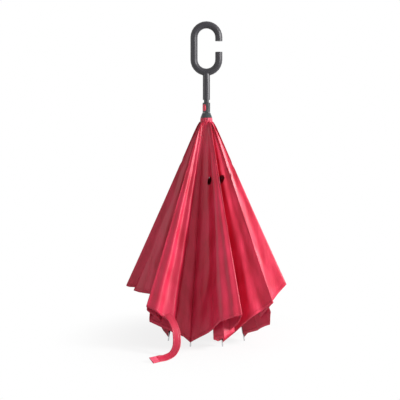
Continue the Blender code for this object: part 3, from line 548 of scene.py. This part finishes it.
def half_gore(key, seed, waves, drops):
    """A grid laid between one rib and one fold. Gives the object and the flat sizes of its cut.

    waves and drops are the hem's points: shares of its way to the fold, and millimetres out and down there.
    """
    fold, rib = fold_and_rib(key)
    top, corner = fold_ends(fold)
    start = rib_pivot(rib) + rib_direction(rib) * CROWN_DROP
    end = hem_end(rib) + rib_direction(rib) * HEM_LOWER
    away = outward(rib_azimuth(rib))
    normal = (corner - end).cross(end - top).normalized()
    if normal.dot(away) < 0:
        normal = -normal
    down = ((corner - top).normalized() + (end - start).normalized()).normalized()
    width, length = (corner - end).length, (end - start).length
    shape, cut = flat_grid(ACROSS_STEPS, DOWN_STEPS)
    if key[1] == "a":
        reach = (VENT_REACH - CROWN_DROP) / length
        there = (fold_place(fold, reach) - start.lerp(end, reach)).length
        middle = Vector((VENT_ASIDE, 0.5 - (reach + ABOVE) / (1 + ABOVE), 0))
        cut_vent(shape, middle, VENT_HALF_WIDTH / there, VENT_HALF_LENGTH / length)
        print("half gore", key, "is", round(there / MM, 1), "mm wide at its vent")
    shares = {vert: (vert.co.x + 0.5, (0.5 - vert.co.y) * (1 + ABOVE) - ABOVE) for vert in shape.verts}
    for vert, (u, v) in shares.items():
        at_rib, at_fold = start.lerp(end, v) + away * COVER, fold_place(fold, v)
        there = (at_fold - at_rib).length
        at_fold = at_fold + (at_fold - at_rib).normalized() * FOLD_COVER * (1 - v) ** FOLD_COVER_FADE
        out = eased(waves, u) * MM * v + slack(u, v, seed) * there
        low = eased(drops, u) * MM * v ** DROP_FADE - HEM_HOLLOW * 4 * u * (1 - u) * v ** HOLLOW_FADE
        vert.co = at_rib.lerp(at_fold, u) + normal * out + down * low
    for face in shape.faces:
        for loop in face.loops:
            u, v = shares[loop.vert]
            loop[cut].uv = (u * (width * v + GATHERED_WIDTH * (1 - v)), (v - 1) * length)
    face_towards(shape, normal)
    return finished(f"canopy_{key}", shape, canopy_finish, CLOTH_THICKNESS), (width, length)


# %% [markdown]
# ## Sixteen halves
#
# No two gores hang alike. The list gives each half its own hem: where it stands out in a round tube and where
# it lies back in a valley. The front ones follow the photograph, and the back ones repeat the same kinds of
# wave. Two hems at the left are also drawn up. Each half takes the place of the model's gore, which is
# hidden.

# %% The hems of the halves
STRIP_END = 45 * MM         # STRIP_END = 45 * MM # a distance from the rib, across its panel
HEM_WAVES = {
    "1a": [(0.35, -8), (0.76, 24), (0.9, 13)],
    "1b": [(0.3, 8), (0.65, -6)],
    "2a": [(0.25, -7), (0.6, 12), (0.8, 2)],
    "2b": [(0.3, 9), (0.7, 3)],
    "3a": [(0.3, -6), (0.55, 9), (0.8, -3)],
    "3b": [(0.25, -5), (0.6, 13)],
    "4a": [(0.3, 9), (0.6, -5), (0.82, 8)],
    "4b": [(0.25, -6), (0.65, 12)],
    "5a": [(0.3, -6), (0.6, 12), (0.8, 2)],
    "5b": [(0.35, 10), (0.7, -5)],
    "6a": [(0.25, -6), (0.6, 13)],
    "6b": [(0.3, -5), (0.55, 10), (0.8, -3)],
    "7a": [(0.3, 8), (0.6, -6), (0.85, 7)],
    "7b": [(0.25, -5), (0.55, 10), (0.8, -4)],
    "8a": [(0.25, 6), (0.5, -6), (0.8, 9)],
    "8b": [(0.3, -10), (0.52, 20), (0.68, 13), (0.84, 19)],
}
DRAWN_UP = [(0.2, -24), (0.5, -46), (0.8, -16)]
HEM_DROPS = {"7a": DRAWN_UP, "7b": DRAWN_UP}

for number, (key, waves) in enumerate(HEM_WAVES.items()):
    drops = HEM_DROPS.get(key, [])
    half, (width, length) = half_gore(key, number + 1, [(0, 0), *waves, (1, 0)], [(0, 0), *drops, (1, 0)])
    fold, rib = fold_and_rib(key)
    along = rib_direction(rib)
    beside = (fold_ends(fold)[1] - hem_end(rib)).normalized()
    beside = (beside - along * beside.dot(along)).normalized()
    strip = rib_pivot(rib)
    f"rib_{rib + 1}"
    strip + beside * STRIP_END
    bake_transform(half)
    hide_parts(f"gore_{key}")
    f"rib_{rib + 1}"
    report(half, (width, length))

# %% [markdown]
# ## Tucks below the hem
#
# A gore is wider than its folded shape, so at the hem some of it is tucked in behind and hangs lower, with
# its own corner. Each tuck is a fan of cloth from the crown's direction to a short hem line, inside the half
# gore. Each tuck is attached to the body of its half gore.

# %% The cloth of one tuck
TUCK_ROWS, TUCK_COLUMNS = 30, 24
TUCK_INSIDE = 1.5 * MM      # from the rib's centre line inwards
TUCK_SLACK, TUCK_WAVES = 6 * MM, (4, 3)
SEAM_FREE = 20 * MM         # shifts a cut past the rib's seam, where a piece has none


def tuck(key, seed, begin, spots):
    """A fan that starts a share of the way down from the crown and ends on a hem line. Gives it and its cut."""
    _, rib = fold_and_rib(key)
    hem = [hem_end(rib) - outward(rib_azimuth(rib)) * TUCK_INSIDE]
    hem += [Vector((x * MM, y * MM, z * MM - TIP_DROP)) for x, y, z in spots]
    lengths = [0]
    for before, after in zip(hem, hem[1:]):
        lengths.append(lengths[-1] + (after - before).length)
    lines = [[(at / lengths[-1], spot[axis]) for at, spot in zip(lengths, hem)] for axis in range(3)]
    reach = (hem[len(hem) // 2] - CROWN_POINT).length
    shape, cut = flat_grid(TUCK_COLUMNS, TUCK_ROWS)
    shares = {
        vert: (vert.co.x + 0.5, begin + (1 - begin) * (0.5 - vert.co.y)) for vert in shape.verts}
    for face in shape.faces:
        for loop in face.loops:
            u, v = shares[loop.vert]
            loop[cut].uv = (u * lengths[-1] * v + SEAM_FREE, (v - 1) * reach)
    for vert, (u, v) in shares.items():
        foot = Vector([eased(line, u) for line in lines])
        wavy = noise(Vector((u * TUCK_WAVES[0] + seed * 3.1, v * TUCK_WAVES[1], 1.7)))
        loose = wavy * TUCK_SLACK * sin(pi * u)
        vert.co = CROWN_POINT.lerp(foot, v) + outward(atan2(foot.y, foot.x)) * loose
    bmesh.ops.recalc_face_normals(shape, faces=shape.faces)
    face_towards(shape, outward(rib_azimuth(rib)))
    made = finished(f"canopy_tuck_{key}", shape, canopy_finish, CLOTH_THICKNESS)
    return made, ((1 - begin) * reach, lengths[-1])


# %% The tucks
TUCKS = {                   # half gore, where it starts on the way down, and the hem's points after the rib's
    "8b": (0.62, [(-92, -92, 38), (-141, -96, 61), (-138, -112, 92)]),
    "1b": (0.72, [(28, -112, 17), (17, -126, 24), (42, -147, 33), (68, -131, 46)]),
    "2b": (0.66, [(128, -66, 34), (155, -94, 54), (157, -106, 88)]),
    "3b": (0.64, [(134, 6, 30), (160, -8, 54), (154, -28, 90)]),
    "7b": (0.66, [(-128, -32, 116), (-172, -12, 119), (-186, -3, 122)]),
    "6a": (0.66, [(-128, 62, 34), (-150, 98, 56), (-148, 112, 90)]),
    "5a": (0.68, [(-42, 122, 30), (-20, 150, 44), (8, 168, 76)]),
    "4b": (0.66, [(118, 70, 30), (146, 96, 52), (144, 120, 88)]),
}
for number, (key, (begin, spots)) in enumerate(TUCKS.items()):
    flap, size = tuck(key, number, begin, spots)
    fold, rib = fold_and_rib(key)
    top, corner = fold_ends(fold)
    end = hem_end(rib)
    facing = (corner - end).cross(end - top).normalized()
    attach(flap, f"gore_{key}")
    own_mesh(flap)
    size[0] * size[1] * (1 + begin) / 2
    report(flap, size)

# %% [markdown]
# ## The crown
#
# Above the folds, all eight gores are gathered and tied round the runner. It is one short sleeve of the same
# cloth, round at the tie and drawn towards the ribs and the folds below, with small pleats all round. It is
# attached to the runner's body and takes the place of the model's crown cloth.

# %% The crown's outline
CROWN_COLUMNS, CROWN_ROWS = 192, 8
CROWN_TOP = PIVOT_HEIGHT + 5.2 * MM
CROWN_FOOT = PIVOT_HEIGHT - 5.5 * MM
CROWN_NECK = 14.5 * MM
STAR_SHARE = 0.25           # how far its foot follows the ribs and the folds
PLEATS, PLEAT_DEPTH = 24, 0.5 * MM

rib_radius = RIB_RING_RADIUS + CROWN_DROP * sin(CLOSED_ANGLE) + COVER
crown_turns = sorted(
    [(rib_azimuth(index) % (2 * pi), rib_radius) for index in range(COUNT)]
    + [(fold_azimuth(index) % (2 * pi), CROWN_RADIUS) for index in range(COUNT)])
crown_turns = [(crown_turns[-1][0] - 2 * pi, crown_turns[-1][1])] + crown_turns
crown_turns += [(crown_turns[1][0] + 2 * pi, crown_turns[1][1])]


def gather_radius(azimuth, height):
    """The crown's radius: round at the tie, and lower down a star through the ribs and the folds."""
    fall = (CROWN_TOP - height) / (CROWN_TOP - CROWN_FOOT)
    for (low, first), (high, second) in zip(crown_turns, crown_turns[1:]):
        if azimuth <= high:
            star = first + (second - first) * (azimuth - low) / (high - low)
            break
    pleats = PLEAT_DEPTH * sin(azimuth * PLEATS) * min(1, 4 * fall) * (1 - fall) ** 0.5
    return CROWN_NECK + (star - CROWN_NECK) * STAR_SHARE * fall + pleats


# %% The gathered crown
CROWN_CUT_LENGTH = 18 * MM
CROWN_CUT_PLACE = (100 * MM, -50 * MM)  # clear of the rib's seam and of the hem
CROWN_FULLNESS = 1.1        # cloth that the pleats take up
JOIN = 0.01 * MM

shape, cut = flat_grid(CROWN_COLUMNS, CROWN_ROWS)
for face in shape.faces:
    for loop in face.loops:
        spot = loop.vert.co
        loop[cut].uv = (
            (spot.x + 0.5) * 2 * pi * CROWN_NECK + CROWN_CUT_PLACE[0],
            (spot.y - 0.5) * CROWN_CUT_LENGTH + CROWN_CUT_PLACE[1])
for vert in shape.verts:
    azimuth = (vert.co.x + 0.5) * 2 * pi
    height = CROWN_FOOT + (vert.co.y + 0.5) * (CROWN_TOP - CROWN_FOOT)
    vert.co = outward(azimuth) * gather_radius(azimuth, height) + UP * height
bmesh.ops.remove_doubles(shape, verts=shape.verts, dist=JOIN)
crown = finished("canopy_crown_cloth", shape, canopy_finish, CLOTH_THICKNESS)
crown_size = (2 * pi * CROWN_NECK * CROWN_FULLNESS, CROWN_TOP - CROWN_FOOT)
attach(crown, "runner")
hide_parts("canopy_crown")
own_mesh(crown)
report(crown, crown_size)

# %% [markdown]
# ## The closing strap
#
# A strap is sewn to one gore. Wrapped round the folded canopy it keeps it shut, and here it hangs loose and
# lies on the floor with its end. It is a flat band on a smooth curve through a few points: first it faces as
# the gore does, and by the time it reaches the floor it has turned to lean on one edge, as stiff tape does.

# %% The strap's route
STRAP_WIDTH = 19 * MM
STRAP_THICKNESS = 1.2 * MM
GORE_THICKNESS = 0.6 * MM   # of the model's solids
FIT = 0.3 * MM
SEAM_SHARES = [(0.71, 0.067, 1), (0.665, 0.037, 4)]     # on its gore: across, up, and thicknesses away
FALL_SHARES = [             # off it: x and y over the folds' radius, and z above the floor over their height
    (-0.429, -0.688, 0.683), (-0.361, -0.79, 0.483), (-0.346, -0.898, 0.217), (-0.39, -0.99, 0.058),
    (-0.468, -1.073, 0), (-0.546, -1.141, 0), (-0.624, -1.21, 0),
]
STRAP_SAMPLES = 60

top, corner = fold_ends(COUNT - 1)
end = hem_end(0)
seam_facing = (corner - end).cross(end - top).normalized()
if seam_facing.y > 0:
    seam_facing = -seam_facing
seam_lift = GORE_THICKNESS / 2 + FIT + STRAP_THICKNESS / 2
route = [
    end + (corner - end) * across + (top - end) * up + seam_facing * seam_lift * away
    for across, up, away in SEAM_SHARES
]
strap_floor = -TIP_DROP + STRAP_THICKNESS / 2 + FIT
route += [
    Vector((x * FOLD_RADIUS, y * FOLD_RADIUS, strap_floor + z * FOLD_HEIGHT)) for x, y, z in FALL_SHARES]


def route_point(share):
    """A point on the smooth curve through the route."""
    place = share * (len(route) - 1)
    index = min(int(place), len(route) - 2)
    part = place - index
    before, first, second, after = (
        route[max(0, min(len(route) - 1, index + step))] for step in (-1, 0, 1, 2))
    return 0.5 * (
        2 * first + (second - before) * part
        + (2 * before - 5 * first + 4 * second - after) * part ** 2
        + (3 * first - before - 3 * second + after) * part ** 3)


samples = [route_point(step / STRAP_SAMPLES) for step in range(STRAP_SAMPLES + 1)]
strap_length = sum((after - before).length for before, after in zip(samples, samples[1:]))
print("strap", round(strap_length, 4), "m long")

# %% A band on the route
SEAM_SHARE, FLOOR_SHARE = 0.25, 0.6     # it turns between these places
STRAP_LEAN = Vector((-0.15, -0.72, 0.68)).normalized()  # its end leans on one edge
STRAP_CUP = 0.6 * MM
STRAP_STITCHES = 2.2 * MM   # from its edge to its row of stitches
BAND_ROWS = 8
TANGENT_STEP = 0.006
BEVEL_SHARE = 0.35          # of the thickness


def band(name, start, end, steps, width, thickness, lift, finish, length):
    """A band along a stretch of the route."""
    shape, cut = flat_grid(steps, BAND_ROWS)
    for face in shape.faces:
        for loop in face.loops:
            spot = loop.vert.co
            from_edge = (0.5 - abs(spot.y)) * width
            loop[cut].uv = ((spot.x + 0.5) * length + SEAM_FREE, STRAP_STITCHES - from_edge - STITCH_ROW)
    for vert in shape.verts:
        share = start + (end - start) * (vert.co.x + 0.5)
        ahead, behind = route_point(min(1, share + TANGENT_STEP)), route_point(max(0, share - TANGENT_STEP))
        along = (ahead - behind).normalized()
        turn = eased([(0, 0), (SEAM_SHARE, 0), (FLOOR_SHARE, 1)], share)
        across = along.cross(seam_facing.lerp(STRAP_LEAN, turn)).normalized()
        cup = STRAP_CUP * cos(pi * vert.co.y) * (1 - turn)
        rise = UP * abs(across.z) * STRAP_WIDTH / 2 * turn
        vert.co = route_point(share) + rise + across * vert.co.y * width + along.cross(across) * (lift - cup)
    bmesh.ops.recalc_face_normals(shape, faces=shape.faces)
    obj = finished(name, shape, finish, thickness)
    soft = obj.modifiers.new("Soft edge", "BEVEL")
    soft.width = thickness * BEVEL_SHARE
    soft.segments = 2
    soft.limit_method = "ANGLE"
    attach(obj, "gore_8b")
    return obj


# %% The strap and its hook tape
PATCH_LENGTH = 24 * MM
PATCH_THICKNESS = 0.8 * MM
PATCH_INSET = 0.6 * MM      # from the strap's end
PATCH_MARGIN = 0.9 * MM     # from its edges
STRAP_STEPS, PATCH_STEPS = 72, 12

strap = band("strap", 0, 1, STRAP_STEPS, STRAP_WIDTH, STRAP_THICKNESS, 0, strap_finish, strap_length)
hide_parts("closing_strap")
patch_lift = STRAP_THICKNESS / 2 + FIT + PATCH_THICKNESS / 2
patch = band(
    "strap_hook_patch", 1 - PATCH_LENGTH / strap_length, 1 - PATCH_INSET / strap_length, PATCH_STEPS,
    STRAP_WIDTH - 2 * PATCH_MARGIN, PATCH_THICKNESS, -patch_lift, patch_finish, PATCH_LENGTH)
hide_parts("strap_patch")
report(strap, (STRAP_WIDTH, strap_length))
report(patch, (STRAP_WIDTH, PATCH_LENGTH))

# %% [markdown]
# ## Studio
#
# The photograph is a cut-out look: a white room with a pale floor that keeps a soft shadow. The floor and
# the room glow white for the camera and for reflections only, so the light on the object stays plain. The
# floor glows a little less near the umbrella, which leaves its shadow in view.

# %% Floor
FLOOR_REACH = 40            # m
FLOOR_WHITE = (0.86, 0.86, 0.86, 1)
SHADOW_START, SHADOW_END = 0.15, 0.42   # from the frame's origin, m
SHADOW_GLOW = 0.84          # the floor's share of glow up to the first of them


def emptied(data):
    """Clears a material's or a world's nodes. Gives a first value in it."""
    data.use_nodes = True
    data.node_tree.nodes.clear()
    return Value(data.node_tree)


def show(shaded, kind):
    """Links a shader to the output of its material or world."""
    out = shaded.tree.nodes.new(kind)
    shaded.tree.links.new(shaded.socket, out.inputs["Surface"])


def direct_rays(start):
    """One for the rays that see the studio itself: from the camera, off a gloss or through something clear."""
    path = start.node("ShaderNodeLightPath")
    rays = path.output("Is Camera Ray") + path.output("Is Glossy Ray") + path.output("Is Transmission Ray")
    return rays.maths("MINIMUM", rays, 1.0)


floor_finish = bpy.data.materials.new("floor_white")
start = emptied(floor_finish)
matt = start.node("ShaderNodeBsdfDiffuse", None, {"Color": FLOOR_WHITE})
white = start.node("ShaderNodeEmission", None, {"Color": (1, 1, 1, 1), "Strength": 1.0})
spot = start.node("ShaderNodeTexCoord", output="Object")
spread = spot.node("ShaderNodeVectorMath", {"operation": "LENGTH"}, {0: spot}, output="Value")
glow = direct_rays(start) * spread.smoothed(SHADOW_START, SHADOW_END, SHADOW_GLOW, 1.0)
show(start.node("ShaderNodeMixShader", None, {0: glow, 1: matt, 2: white}), "ShaderNodeOutputMaterial")

shape = bmesh.new()
bmesh.ops.create_grid(shape, x_segments=1, y_segments=1, size=FLOOR_REACH)
bmesh.ops.translate(shape, verts=shape.verts, vec=(0, 0, -TIP_DROP))
finished("floor", shape, floor_finish)
print("floor at the rib tips' height,", -TIP_DROP, "m")

# %% World
WORLD_LIGHT = 0.25          # its light on the object

world = bpy.data.worlds.new("studio")
bpy.context.scene.world = world
start = emptied(world)
level = direct_rays(start) * (1 - WORLD_LIGHT) + WORLD_LIGHT
room = start.node("ShaderNodeBackground", None, {"Color": (1, 1, 1, 1), "Strength": level})
show(room, "ShaderNodeOutputWorld")
print("white room that lights the object at", WORLD_LIGHT)

# %% [markdown]
# ## Lamps
#
# The photograph's right side is bright and its left side falls off softly, so a big soft lamp stands to the
# right and in front, and a much weaker one at the left fills the shadows.

# %% The lamps
LAMP_TARGET = (0, 0, 0.2)


def lamp(name, place, size, power):
    data = bpy.data.lights.new(name, "AREA")
    data.shape = "DISK"
    data.size = size
    data.energy = power
    obj = bpy.data.objects.new(name, data)
    obj.location = place
    obj.rotation_mode = "QUATERNION"
    obj.rotation_quaternion = (Vector(LAMP_TARGET) - Vector(place)).to_track_quat("-Z", "Y")
    bpy.context.scene.collection.objects.link(obj)
    print(name, "lamp of", power, "W")


lamp("key", place=(2.3, -0.8, 1.3), size=0.9, power=120)
lamp("fill", place=(-2.6, -1.0, 1.2), size=1.2, power=10)
bpy.context.scene.view_settings.view_transform = "Standard"
